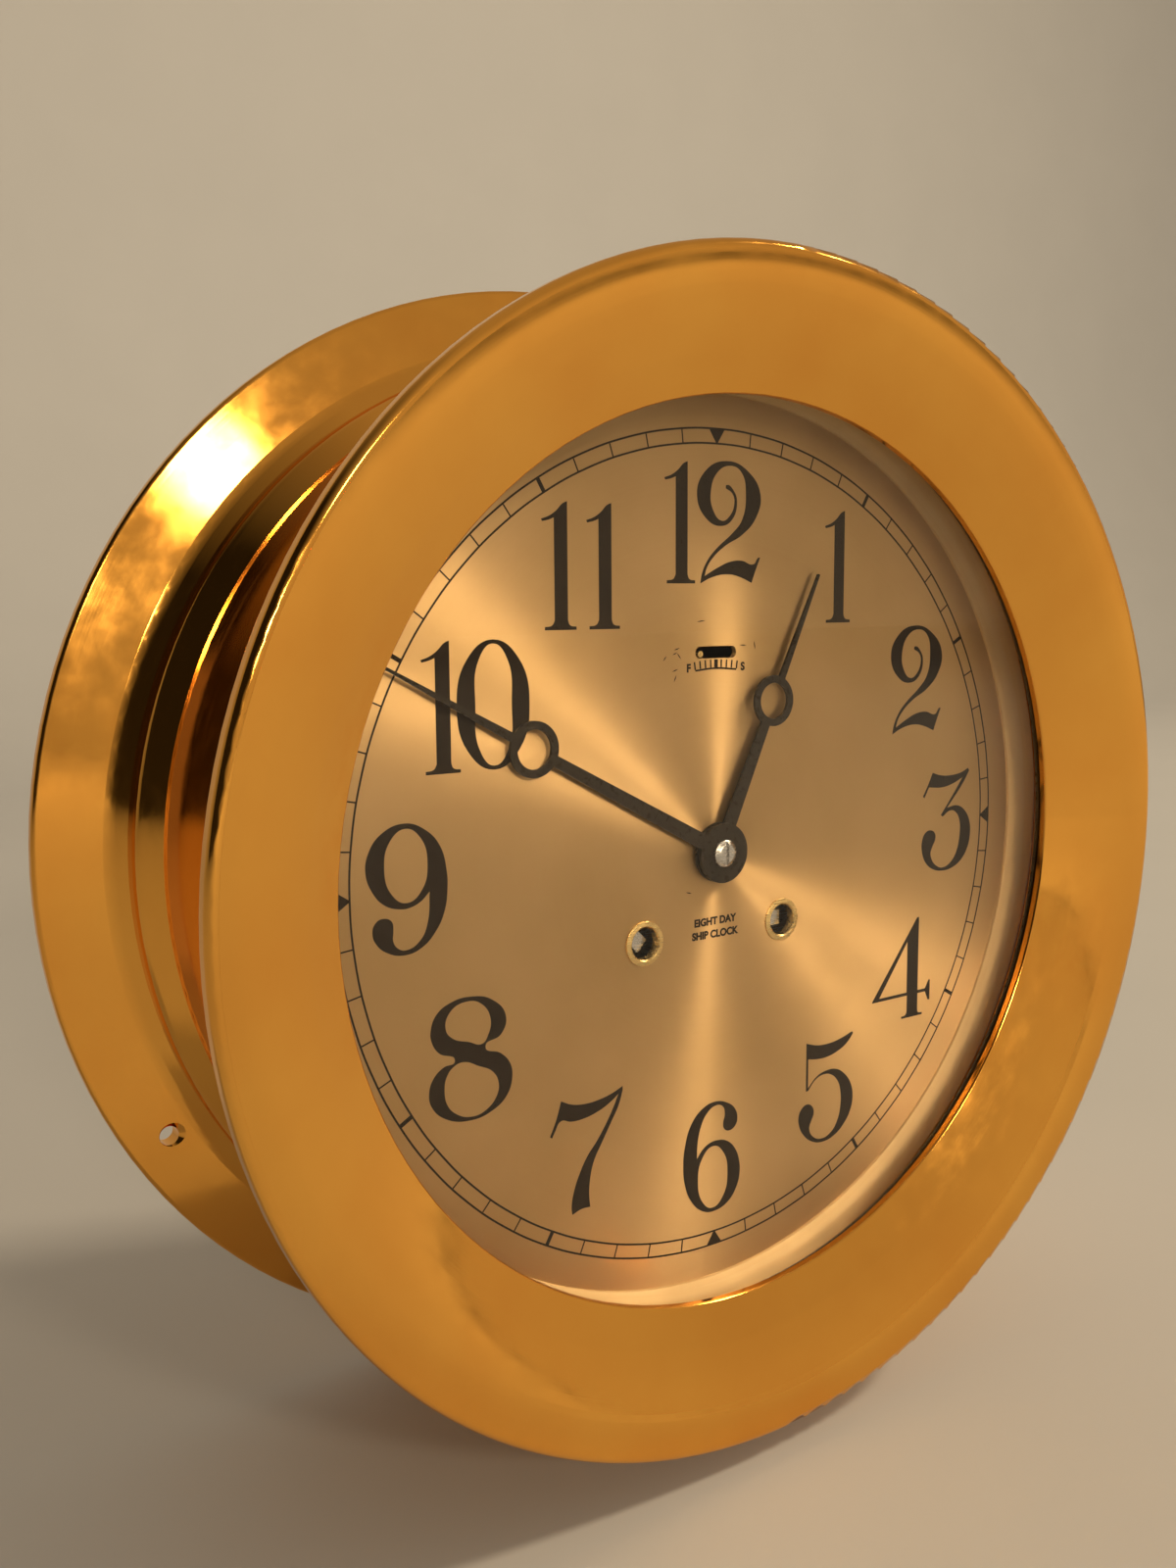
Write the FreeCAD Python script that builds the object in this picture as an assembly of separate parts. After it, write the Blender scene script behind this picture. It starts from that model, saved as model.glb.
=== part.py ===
import FreeCAD, Part
import math
import os

# Ships deck clock for a bulkhead. Millimetres.
# Origin: centre of the flat back of the wall flange, on the clock's axis.
# The dial faces -Y, +Z points to 12 o'clock and +X to 3 o'clock.

# ---- driving dimensions: case -------------------------------------------------
FLANGE_R = 144.9
FLANGE_EDGE = 3.0
BEAD_R = 125.0
BEAD_BACK_Y = -9.3
BEAD_FRONT_Y = -21.0
BARREL_R = 120.0
CASE_BORE_R = 116.0
CASE_BACK_Y = -4.0
SHOULDER_Y = -64.5
THREAD_R = 118.7
THREAD_PITCH = 2.5
CASE_MOUTH_Y = -80.2
FLANGE_SCREW_PCD = 270.0
FLANGE_HOLE_R = 2.4
FLANGE_SINK_R = 4.0
FLANGE_SINK_Y = -6.2
FLANGE_SINK_CLEAR = 3.0
SOLDER_GAP = 0.02
FLANGE_SCREW_ANGLES = (90.0, 210.0, 330.0)

# ---- driving dimensions: bezel and glass --------------------------------------
LIP_R = 107.8
LIP_Y = -87.05
FACE_BENDS = [(122.0, -95.2, 80.0), (133.0, -99.3, 30.0)]   # r, y and fillet between the face's three slopes
RIM_R = 138.7
RIM_FRONT_Y = -100.0
RIM_BACK_Y = -95.2
BEZEL_BORE_R = 119.0
GLASS_R = 112.3
GLASS_T = 3.0
GLASS_FRONT_Y = -85.4
RETAINER_R = 109.6

# ---- driving dimensions: dial and hands ---------------------------------------
DIAL_Y = -71.0
DIAL_T = 1.5
DIAL_R = 115.6
REFLECTOR_INNER_R = 109.8
REFLECTOR_OUTER_R = 115.8
REFLECTOR_RISE = 5.0
DIAL_HOLE_R = 4.0
WINDING_X = 22.0
WINDING_Z = -20.1
GROMMET_R = 5.5
GROMMET_HOLE_R = 3.9
SLOT_Z = 48.9
SLOT_LENGTH = 12.8
SLOT_WIDTH = 3.0
HUB_R = 7.4
RING_R = 6.35
RING_HOLE_R = 4.5
MINUTE_RING_AT = 61.8
MINUTE_LENGTH = 102.5
MINUTE_ANGLE = 298.0
HOUR_RING_AT = 40.4
HOUR_LENGTH = 75.0
HOUR_ANGLE = 25.5
HAND_T = 0.8
HOUR_HAND_Y = -72.9
MINUTE_HAND_Y = -74.5
HAND_PIN_R = 3.4
HAND_PIN_T = 1.3
HAND_PIN_SLOT = 0.9

# ---- driving dimensions: movement ---------------------------------------------
PLATE_R = 62.0
PLATE_T = 2.5
PLATE_TOP_Z = 45.5
FRONT_PLATE_Y = -63.0
REAR_PLATE_Y = -30.5
FRONT_INNER_Y = FRONT_PLATE_Y + PLATE_T
REAR_OUTER_Y = REAR_PLATE_Y + PLATE_T
PIVOT_R = 0.9
RUNNING_GAP = 0.05
ARBOR_R = 0.9
CENTRE_ARBOR_R = 1.5
WINDING_ARBOR_R = 3.0
WINDING_SQUARE = 3.9
DRUM_R = 17.0
DRUM_WALL = 1.2
RATCHET_FRONT_Y = -65.2
RATCHET_BACK_Y = -63.8
POST_SCREW_R = 2.1

# tooth module, wheel teeth and pinion leaves of every mesh
GREAT_MODULE, GREAT_TEETH, GREAT_LEAVES = 0.7095, 72, 12
CENTRE_MODULE, CENTRE_TEETH, CENTRE_LEAVES = 0.5, 64, 8
THIRD_MODULE, THIRD_TEETH, THIRD_LEAVES = 0.4, 60, 8
FOURTH_MODULE, FOURTH_TEETH, FOURTH_LEAVES = 0.3, 80, 8
SECOND_MODULE, SECOND_TEETH, SECOND_LEAVES = 0.4, 56, 8
WARNING_MODULE, WARNING_TEETH, WARNING_LEAVES = 0.4, 48, 8
CANNON_MODULE, MINUTE_TEETH, CANNON_LEAVES = 13.0 / 24.0, 36, 12
HOUR_MODULE, HOUR_TEETH, HOUR_LEAVES = 0.52, 40, 10

# arbor places seen from the front, (x, z)
CENTRE = (0.0, 0.0)
TIME_BARREL = (WINDING_X, WINDING_Z)
STRIKE_BARREL = (-WINDING_X, WINDING_Z)
THIRD = (-5.395, 17.172)
FOURTH = (-18.5, 20.8)
ESCAPE = (-18.5, 34.0)
LEVER = (-9.5, 34.0)
BALANCE = (0.0, 34.0)
MINUTE_STUD = (0.0, 13.0)
STRIKE_SECOND = (-47.8, -5.2)
STRIKE_THIRD = (-45.58, 7.41)
STRIKE_FLY = (-41.75, 17.93)
HAMMER = (-35.0, -46.0)
BELL = (12.0, -24.0)
PILLARS = ((38.0, 38.0), (-38.0, 38.0), (50.0, -31.0), (-50.0, -31.0), (0.0, -56.0))
MOUNT_POSTS = ((48.9, 22.8), (-48.9, 22.8), (-14.0, -54.0))
DIAL_FEET = ((45.9, 32.1), (-45.9, 32.1), (0.0, -50.0))

Y_AXIS = FreeCAD.Vector(0, 1, 0)


# ---- small builders -------------------------------------------------------------
def vec(x, y, z):
    return FreeCAD.Vector(x, y, z)


def polar(radius, degrees, centre=(0.0, 0.0)):
    """Point (x, z) at a radius and an angle counter-clockwise from 3 o'clock."""
    angle = math.radians(degrees)
    return (centre[0] + radius * math.cos(angle), centre[1] + radius * math.sin(angle))


def rod(place, y_front, y_back, radius):
    """Cylinder along Y at place (x, z)."""
    return Part.makeCylinder(radius, y_back - y_front, vec(place[0], y_front, place[1]), Y_AXIS)


def tube(place, y_front, y_back, outer, inner):
    return rod(place, y_front, y_back, outer).cut(rod(place, y_front - 1, y_back + 1, inner))


def prism(points, y_front, y_back):
    """Solid with a polygon outline of (x, z) points."""
    corners = [vec(x, y_front, z) for x, z in points]
    face = Part.Face(Part.makePolygon(corners + corners[:1]))
    return face.extrude(vec(0, y_back - y_front, 0))


def bar(start, end, width_start, width_end, y_front, y_back):
    """Tapered flat bar from start to end."""
    length = math.dist(start, end)
    side = ((start[1] - end[1]) / length, (end[0] - start[0]) / length)
    a, b = width_start / 2, width_end / 2
    return prism([(start[0] + side[0] * a, start[1] + side[1] * a),
                  (end[0] + side[0] * b, end[1] + side[1] * b),
                  (end[0] - side[0] * b, end[1] - side[1] * b),
                  (start[0] - side[0] * a, start[1] - side[1] * a)], y_front, y_back)


def rounded_profile(corners):
    """Closed wire in the X-Y plane through (radius, y, fillet) corners."""
    edges = []
    starts = []
    count = len(corners)
    for i in range(count):
        here = vec(corners[i][0], corners[i][1], 0)
        before = vec(corners[i - 1][0], corners[i - 1][1], 0) - here
        after = vec(corners[(i + 1) % count][0], corners[(i + 1) % count][1], 0) - here
        fillet = corners[i][2]
        before.normalize()
        after.normalize()
        if fillet == 0:
            starts.append((here, here, here))
            continue
        half = before.getAngle(after) / 2
        reach = fillet / math.tan(half)
        bisector = before + after
        bisector.normalize()
        middle = here + bisector * (fillet / math.sin(half) - fillet)
        starts.append((here + before * reach, middle, here + after * reach))
    for i in range(count):
        first, middle, last = starts[i]
        if first != last:
            edges.append(Part.Arc(first, middle, last).toShape())
        edges.append(Part.makeLine(last, starts[(i + 1) % count][0]))
    return Part.Wire(edges)


def turned(corners, place=(0.0, 0.0)):
    """Solid of revolution about the Y line through place."""
    solid = Part.Face(rounded_profile(corners)).revolve(vec(0, 0, 0), Y_AXIS, 360)
    solid.translate(vec(place[0], 0, place[1]))
    return solid


def fuse(shapes):
    solid = shapes[0].multiFuse(shapes[1:])
    return solid.removeSplitter()


def slotted_screw(place, head_y, tip_y, head_r, shank_r, head_t):
    """Cheese-head screw; the head lies beyond head_y, away from the tip."""
    out = math.copysign(1.0, head_y - tip_y)
    face = head_y + out * head_t
    head = rod(place, min(head_y, face), max(head_y, face), head_r)
    shank = rod(place, min(head_y, tip_y), max(head_y, tip_y), shank_r)
    slot_half = head_r * 0.14
    slot_floor = face - out * head_t * 0.45
    slot = Part.makeBox(4 * head_r, abs(face - slot_floor) + 1, 2 * slot_half)
    slot.translate(vec(place[0] - 2 * head_r, min(slot_floor, face + out), place[1] - slot_half))
    return head.fuse(shank).cut(slot).removeSplitter()


# ---- gears ------------------------------------------------------------------------
WHEEL_TOOTH = ((-1.25, 0.46), (0.0, 0.40), (0.55, 0.28), (0.95, 0.12))
LEAF_TOOTH = ((-1.35, 0.26), (0.0, 0.34), (0.35, 0.26), (0.6, 0.12))


def tooth_outline(place, module, teeth, phase, flanks):
    """Flat-sided teeth; flanks lists (height in modules, width in tooth pitches)."""
    points = []
    pitch = 360.0 / teeth
    for tooth in range(teeth):
        middle = phase + tooth * pitch
        for height, width in flanks:
            points.append(polar(module * (teeth / 2 + height), middle - width * pitch / 2, place))
        for height, width in reversed(flanks):
            points.append(polar(module * (teeth / 2 + height), middle + width * pitch / 2, place))
    return points


def toothed(place, module, teeth, phase, y_front, y_back, flanks=WHEEL_TOOTH):
    return prism(tooth_outline(place, module, teeth, phase, flanks), y_front, y_back)


def crossed_out(solid, place, inner_r, outer_r, y_front, y_back, arms=5):
    """Cuts the windows between a wheel's arms."""
    step = 360.0 / arms
    for arm in range(arms):
        start = arm * step + 10.0
        end = (arm + 1) * step - 10.0
        middle = (start + end) / 2
        window = [polar(outer_r, start, place), polar(outer_r, middle, place), polar(outer_r, end, place),
                  polar(inner_r, end - 8.0, place), polar(inner_r, start + 8.0, place)]
        solid = solid.cut(prism(window, y_front - 1, y_back + 1))
    return solid


def mating_phase(place, teeth, phase, other, other_teeth):
    """Phase of the gear at other, so that its gap meets a tooth of the gear at place."""
    toward = math.degrees(math.atan2(other[1] - place[1], other[0] - place[0]))
    pitch = 360.0 / teeth
    other_pitch = 360.0 / other_teeth
    fraction = ((toward - phase) / pitch) % 1.0
    return toward + 180.0 - other_pitch * (0.5 - fraction)


def wheel(place, module, teeth, phase, y_front, y_back):
    """Crossed-out train wheel."""
    root = module * (teeth / 2 - 1.25)
    solid = toothed(place, module, teeth, phase, y_front, y_back)
    return crossed_out(solid, place, root * 0.3, root - 1.6, y_front, y_back)


def arbor_between_plates(place, radius=ARBOR_R):
    return rod(place, FRONT_PLATE_Y + 0.2, REAR_OUTER_Y - 0.2, radius)


# Phases of all the wheels, each worked out from the one that it meets.
TIME_GREAT_PHASE = 0.0
CENTRE_PHASE = mating_phase(TIME_BARREL, GREAT_TEETH, TIME_GREAT_PHASE, CENTRE, GREAT_LEAVES)
CENTRE_WHEEL_PHASE = 0.0
THIRD_PHASE = mating_phase(CENTRE, CENTRE_TEETH, CENTRE_WHEEL_PHASE, THIRD, CENTRE_LEAVES)
THIRD_WHEEL_PHASE = 0.0
FOURTH_PHASE = mating_phase(THIRD, THIRD_TEETH, THIRD_WHEEL_PHASE, FOURTH, THIRD_LEAVES)
FOURTH_WHEEL_PHASE = 0.0
ESCAPE_PHASE = mating_phase(FOURTH, FOURTH_TEETH, FOURTH_WHEEL_PHASE, ESCAPE, FOURTH_LEAVES)
STRIKE_GREAT_PHASE = 0.0
SECOND_PHASE = mating_phase(STRIKE_BARREL, GREAT_TEETH, STRIKE_GREAT_PHASE, STRIKE_SECOND, GREAT_LEAVES)
SECOND_WHEEL_PHASE = 0.0
WARNING_PHASE = mating_phase(STRIKE_SECOND, SECOND_TEETH, SECOND_WHEEL_PHASE, STRIKE_THIRD, SECOND_LEAVES)
WARNING_WHEEL_PHASE = 0.0
FLY_PHASE = mating_phase(STRIKE_THIRD, WARNING_TEETH, WARNING_WHEEL_PHASE, STRIKE_FLY, WARNING_LEAVES)
MINUTE_WHEEL_PHASE = 0.0
CANNON_PHASE = mating_phase(MINUTE_STUD, MINUTE_TEETH, MINUTE_WHEEL_PHASE, CENTRE, CANNON_LEAVES)
HOUR_WHEEL_PHASE = 0.0
MINUTE_PINION_PHASE = mating_phase(CENTRE, HOUR_TEETH, HOUR_WHEEL_PHASE, MINUTE_STUD, HOUR_LEAVES)


# ---- case, bezel and glass ----------------------------------------------------------
def wall_flange():
    """Flange and bead in one ring, soldered round the barrel."""
    ring = turned([(BARREL_R + SOLDER_GAP, 0, 0), (FLANGE_R, 0, 0.6), (FLANGE_R, -FLANGE_EDGE, 1.2),
                   (BEAD_R + 3.5, -6.6, 6.0), (BEAD_R, BEAD_BACK_Y, 0), (BEAD_R + 0.6, -15.5, 4.0),
                   (BARREL_R + 0.4, BEAD_FRONT_Y, 0), (BARREL_R + SOLDER_GAP, BEAD_FRONT_Y, 0)])
    for angle in FLANGE_SCREW_ANGLES:
        place = polar(FLANGE_SCREW_PCD / 2, angle)
        sink_height = FLANGE_SINK_R + FLANGE_SINK_CLEAR - FLANGE_HOLE_R
        sink = Part.makeCone(FLANGE_SINK_R + FLANGE_SINK_CLEAR, FLANGE_HOLE_R, sink_height,
                             vec(place[0], FLANGE_SINK_Y - FLANGE_SINK_CLEAR, place[1]), Y_AXIS)
        ring = ring.cut([rod(place, -20, 1, FLANGE_HOLE_R), sink])
    return ring


def case_barrel():
    """Tube with the bezel's thread at its mouth and the dial's ledge inside."""
    ledge_y = DIAL_Y + DIAL_T
    profile = [(BARREL_R, 0, 0), (BARREL_R, SHOULDER_Y, 0.4), (THREAD_R, SHOULDER_Y, 0)]
    groove_y = SHOULDER_Y - THREAD_PITCH
    while groove_y > CASE_MOUTH_Y + THREAD_PITCH:
        profile += [(THREAD_R, groove_y + 0.6, 0), (THREAD_R - 0.8, groove_y, 0), (THREAD_R, groove_y - 0.6, 0)]
        groove_y -= THREAD_PITCH
    profile += [(THREAD_R, CASE_MOUTH_Y, 0.3), (CASE_BORE_R, CASE_MOUTH_Y, 0.3), (CASE_BORE_R, ledge_y, 0),
                (CASE_BORE_R - 6, ledge_y, 0), (CASE_BORE_R - 6, ledge_y + 3, 0), (CASE_BORE_R, ledge_y + 9, 0),
                (CASE_BORE_R, 0, 0)]
    return turned(profile)


def back_plate():
    """Disc that closes the back of the barrel; countersunk for the movement's screws."""
    plate = rod(CENTRE, CASE_BACK_Y, 0, CASE_BORE_R - SOLDER_GAP)
    holes = [rod(BELL, CASE_BACK_Y - 1, 1, POST_SCREW_R)]
    for place in MOUNT_POSTS:
        holes.append(rod(place, CASE_BACK_Y - 1, 1, POST_SCREW_R))
        holes.append(Part.makeCone(POST_SCREW_R, 4.3, 2.2, vec(place[0], -POST_SCREW_R, place[1]), Y_AXIS))
    return plate.cut(holes)


def bezel_ring():
    """Turned ring; its bore runs on the barrel's thread."""
    return turned([(LIP_R, LIP_Y, 0.7), *FACE_BENDS, (RIM_R, RIM_FRONT_Y, 2.0),
                   (RIM_R, RIM_BACK_Y, 1.2), (RIM_R - 6.0, RIM_BACK_Y + 1.8, 3.0), (126.0, -86.0, 6.0),
                   (124.5, -68.0, 1.0), (123.0, SHOULDER_Y - 0.4, 0.6), (BEZEL_BORE_R, SHOULDER_Y - 0.4, 0.3),
                   (BEZEL_BORE_R, CASE_MOUTH_Y - 0.4, 0), (GLASS_R + 0.3, CASE_MOUTH_Y - 0.4, 0),
                   (GLASS_R + 0.3, GLASS_FRONT_Y, 0), (LIP_R, GLASS_FRONT_Y, 0)])


def crystal():
    front, back = GLASS_FRONT_Y + 0.1, GLASS_FRONT_Y + GLASS_T
    return turned([(0, front, 0), (GLASS_R, front, 0.4), (GLASS_R, back, 0.4), (0, back, 0)])


def crystal_gasket():
    back = GLASS_FRONT_Y + GLASS_T
    return turned([(RETAINER_R, back, 0), (GLASS_R, back, 0), (GLASS_R, back + 0.5, 0), (RETAINER_R, back + 0.5, 0)])


def retaining_ring():
    front = GLASS_FRONT_Y + GLASS_T + 0.5
    return turned([(RETAINER_R, front, 0), (GLASS_R, front, 0), (GLASS_R, CASE_MOUTH_Y - 0.5, 0),
                   (RETAINER_R + 0.8, CASE_MOUTH_Y - 0.5, 0)])


# ---- dial ---------------------------------------------------------------------------
def reflector_ring():
    """Conical ring that lies on the rim of the dial."""
    front = DIAL_Y - REFLECTOR_RISE
    return turned([(REFLECTOR_INNER_R, DIAL_Y, 0), (REFLECTOR_INNER_R + 0.1, DIAL_Y - 0.7, 0),
                   (REFLECTOR_OUTER_R - 0.4, front, 0.2), (REFLECTOR_OUTER_R, front, 0), (REFLECTOR_OUTER_R, DIAL_Y, 0)])


def slot_cutter():
    straight = SLOT_LENGTH - SLOT_WIDTH
    left = (-straight / 2, SLOT_Z)
    right = (straight / 2, SLOT_Z)
    front, back = DIAL_Y - 1, DIAL_Y + DIAL_T + 1
    return fuse([bar(left, right, SLOT_WIDTH, SLOT_WIDTH, front, back),
                 rod(left, front, back, SLOT_WIDTH / 2), rod(right, front, back, SLOT_WIDTH / 2)])


def dial_plate():
    dial = rod(CENTRE, DIAL_Y, DIAL_Y + DIAL_T, DIAL_R)
    cutters = [rod(CENTRE, DIAL_Y - 1, DIAL_Y + DIAL_T + 1, DIAL_HOLE_R), slot_cutter()]
    for barrel in (TIME_BARREL, STRIKE_BARREL):
        cutters.append(rod(barrel, DIAL_Y - 1, DIAL_Y + DIAL_T + 1, 4.7))
    return dial.cut(cutters)


def winding_grommet(place):
    back = DIAL_Y + DIAL_T + 0.3
    return turned([(GROMMET_HOLE_R, DIAL_Y - 0.3, 0.2), (GROMMET_HOLE_R + 0.4, DIAL_Y - 0.7, 0.2),
                   (GROMMET_R, DIAL_Y - 0.4, 0.15), (GROMMET_R, DIAL_Y, 0), (4.65, DIAL_Y, 0),
                   (4.65, back, 0), (GROMMET_HOLE_R, back, 0)], place)


def dial_foot(place):
    foot = rod(place, DIAL_Y + DIAL_T, -58.0, 1.5)
    return foot.cut(Part.makeCylinder(0.55, 8, vec(place[0] - 4, -59.3, place[1]), vec(1, 0, 0)))


def foot_pin(place):
    return Part.makeCone(0.5, 0.4, 7, vec(place[0] - 3.5, -59.3, place[1]), vec(1, 0, 0))


# ---- hands --------------------------------------------------------------------------
def clock_angle(degrees):
    """Counter-clockwise angle from 3 o'clock of a clockwise angle from 12."""
    return 90.0 - degrees


def hand(y_front, clockwise, ring_at, length, bore, widths):
    """Moon hand; widths are those at the hub, before the ring, after it and at the tip."""
    y_back = y_front + HAND_T
    angle = clock_angle(clockwise)
    ring_centre = polar(ring_at, angle)
    solid = fuse([rod(CENTRE, y_front, y_back, HUB_R),
                  bar(CENTRE, polar(ring_at - RING_HOLE_R - 0.6, angle), widths[0], widths[1], y_front, y_back),
                  rod(ring_centre, y_front, y_back, RING_R),
                  bar(polar(ring_at + RING_HOLE_R + 0.6, angle), polar(length, angle),
                      widths[2], widths[3], y_front, y_back)])
    solid = solid.cut(rod(ring_centre, y_front - 1, y_back + 1, RING_HOLE_R))
    return solid.cut(rod(CENTRE, y_front - 1, y_back + 1, bore))


def hand_pin():
    """Domed screw that holds the hands, with its slot upright."""
    front = MINUTE_HAND_Y - HAND_PIN_T
    dome = turned([(0, MINUTE_HAND_Y, 0), (HAND_PIN_R, MINUTE_HAND_Y, 0), (HAND_PIN_R, MINUTE_HAND_Y - 0.5, 0.3),
                   (HAND_PIN_R - 1.2, front, 1.0), (0, front, 0)])
    slot = bar((0, -HAND_PIN_R), (0, HAND_PIN_R), HAND_PIN_SLOT, HAND_PIN_SLOT, front - 1, front + 0.6)
    return dome.cut(slot)


# ---- motion works -------------------------------------------------------------------
def cannon_pinion():
    leaves = toothed(CENTRE, CANNON_MODULE, CANNON_LEAVES, CANNON_PHASE, -64.8, -63.4, LEAF_TOOTH)
    pipe = rod(CENTRE, MINUTE_HAND_Y + HAND_T, -63.2, 2.6)
    seat = rod(CENTRE, MINUTE_HAND_Y, -70, 2.2)
    bore = rod(CENTRE, -72.5, -60, CENTRE_ARBOR_R + RUNNING_GAP)
    return fuse([leaves, pipe, seat]).cut(bore)


def minute_wheel():
    large = toothed(MINUTE_STUD, CANNON_MODULE, MINUTE_TEETH, MINUTE_WHEEL_PHASE, -64.6, -63.6)
    small = toothed(MINUTE_STUD, HOUR_MODULE, HOUR_LEAVES, MINUTE_PINION_PHASE, -66.6, -64.6, LEAF_TOOTH)
    return fuse([large, small]).cut(rod(MINUTE_STUD, -70, -60, 1.2 + RUNNING_GAP))


def minute_wheel_stud():
    return turned([(0, -67.6, 0), (1.2, -67.6, 0.2), (1.2, FRONT_PLATE_Y + 1.5, 0), (0, FRONT_PLATE_Y + 1.5, 0)],
                  MINUTE_STUD)


def hour_wheel():
    disc = toothed(CENTRE, HOUR_MODULE, HOUR_TEETH, HOUR_WHEEL_PHASE, -66.4, -65.2)
    pipe = rod(CENTRE, HOUR_HAND_Y + HAND_T, -65.2, 3.6)
    seat = rod(CENTRE, HOUR_HAND_Y, -70, 3.4)
    return fuse([disc, pipe, seat]).cut(rod(CENTRE, -80, -60, 2.6 + RUNNING_GAP))


# ---- movement frame -----------------------------------------------------------------
def plate_blank(y_front):
    blank = rod(CENTRE, y_front, y_front + PLATE_T, PLATE_R)
    top = Part.makeBox(2 * PLATE_R, 2 * PLATE_T, PLATE_R)
    top.translate(vec(-PLATE_R, y_front - 1, PLATE_TOP_Z))
    return blank.cut(top)


def plate_hole(place, radius, y_front):
    return rod(place, y_front - 1, y_front + PLATE_T + 1, radius)


def front_plate():
    holes = [plate_hole(place, 1.6, FRONT_PLATE_Y) for place in PILLARS + DIAL_FEET]
    holes += [plate_hole(place, WINDING_ARBOR_R + RUNNING_GAP, FRONT_PLATE_Y) for place in (TIME_BARREL, STRIKE_BARREL)]
    holes += [plate_hole(place, PIVOT_R + RUNNING_GAP, FRONT_PLATE_Y)
              for place in (THIRD, FOURTH, ESCAPE, STRIKE_SECOND, STRIKE_THIRD, STRIKE_FLY)]
    holes.append(plate_hole(CENTRE, CENTRE_ARBOR_R + RUNNING_GAP, FRONT_PLATE_Y))
    holes.append(plate_hole(HAMMER, 1.2 + RUNNING_GAP, FRONT_PLATE_Y))
    holes.append(plate_hole(MINUTE_STUD, 1.22, FRONT_PLATE_Y))
    holes += [plate_hole(click_stud_place(barrel), 1.02, FRONT_PLATE_Y) for barrel in (TIME_BARREL, STRIKE_BARREL)]
    return plate_blank(FRONT_PLATE_Y).cut(holes)


def rear_plate():
    holes = [plate_hole(place, 1.6, REAR_PLATE_Y) for place in PILLARS]
    holes += [plate_hole(place, 2.0, REAR_PLATE_Y) for place in MOUNT_POSTS]
    holes += [plate_hole(place, 2.0 + RUNNING_GAP, REAR_PLATE_Y) for place in (TIME_BARREL, STRIKE_BARREL)]
    holes += [plate_hole(place, PIVOT_R + RUNNING_GAP, REAR_PLATE_Y)
              for place in (CENTRE, THIRD, FOURTH, STRIKE_SECOND, STRIKE_THIRD, STRIKE_FLY)]
    holes.append(plate_hole(ESCAPE, 1.6, REAR_PLATE_Y))
    holes.append(plate_hole(HAMMER, 1.2 + RUNNING_GAP, REAR_PLATE_Y))
    holes += [plate_hole(place, 0.85, REAR_PLATE_Y) for place in PLATFORM_SCREWS]
    return plate_blank(REAR_PLATE_Y).cut(holes)


def plate_pillar(place):
    pillar = turned([(0, FRONT_INNER_Y, 0), (3.6, FRONT_INNER_Y, 0.3), (3.6, -58.5, 0), (2.8, -57.5, 0),
                     (2.8, -33.5, 0), (3.6, -32.5, 0), (3.6, REAR_PLATE_Y, 0.3), (0, REAR_PLATE_Y, 0)], place)
    return pillar.cut([rod(place, FRONT_INNER_Y - 1, FRONT_INNER_Y + 7, 1.55),
                       rod(place, REAR_PLATE_Y - 7, REAR_PLATE_Y + 1, 1.55)])


def plate_screws():
    screws = []
    for place in PILLARS:
        screws.append(slotted_screw(place, FRONT_PLATE_Y, FRONT_INNER_Y + 6, 2.8, 1.5, 1.4))
        screws.append(slotted_screw(place, REAR_OUTER_Y, REAR_PLATE_Y - 6, 2.8, 1.5, 1.4))
    return screws


def mounting_post(place):
    post = turned([(0, REAR_PLATE_Y, 0), (1.95, REAR_PLATE_Y, 0.2), (1.95, REAR_OUTER_Y, 0), (4.0, REAR_OUTER_Y, 0.3),
                   (4.0, CASE_BACK_Y, 0.3), (0, CASE_BACK_Y, 0)], place)
    return post.cut(rod(place, CASE_BACK_Y - 10, CASE_BACK_Y + 1, 2.05))


def mounting_screw(place):
    """Countersunk screw from behind, a little below the back face."""
    screw = turned([(0, CASE_BACK_Y - 8, 0), (1.98, CASE_BACK_Y - 8, 0.3), (1.98, -2.1, 0), (3.7, -0.35, 0),
                    (3.7, -0.15, 0), (0, -0.15, 0)], place)
    slot = Part.makeBox(10, 1, 0.9)
    slot.translate(vec(place[0] - 5, -0.9, place[1] - 0.45))
    return screw.cut(slot)


# ---- barrels and winding ------------------------------------------------------------
def barrel_levels(strike):
    """Y of the great wheel's two faces, of the drum's open end and of its cap."""
    if strike:
        return -58.5, -56.5, -40.0, (-41.0, -40.0)
    return -39.0, -37.0, -56.0, (-56.0, -55.0)


def barrel_wheel(place, strike, phase):
    """Great wheel with the barrel drum riveted to it."""
    front, back, open_end, cap = barrel_levels(strike)
    disc = toothed(place, GREAT_MODULE, GREAT_TEETH, phase, front, back)
    drum = rod(place, min(front, open_end), max(back, open_end), DRUM_R)
    hollow_front = back if strike else open_end - 1
    hollow_back = open_end + 1 if strike else front
    hollow = rod(place, hollow_front, hollow_back, DRUM_R - DRUM_WALL)
    bore = rod(place, front - 1, back + 1, WINDING_ARBOR_R + RUNNING_GAP)
    return disc.fuse(drum).cut([hollow, bore]).removeSplitter()


def barrel_cap(place, strike):
    cap = barrel_levels(strike)[3]
    return tube(place, cap[0], cap[1], DRUM_R - DRUM_WALL - 0.02, WINDING_ARBOR_R + RUNNING_GAP)


def coil(place, inner_r, outer_r, turns, thickness, y_front, y_back, steps=16):
    """Flat spiral spring."""
    outer, inner = [], []
    total = turns * steps
    for step in range(total + 1):
        radius = inner_r + (outer_r - inner_r) * step / total
        angle = 360.0 * step / steps
        outer.append(polar(radius + thickness / 2, angle, place))
        inner.append(polar(radius - thickness / 2, angle, place))
    return prism(outer + inner[::-1], y_front, y_back)


def mainspring(place, strike):
    front = -54.5 if not strike else -55.5
    return coil(place, 4.6, 14.6, 7, 0.45, front, front + 13.0)


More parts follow.
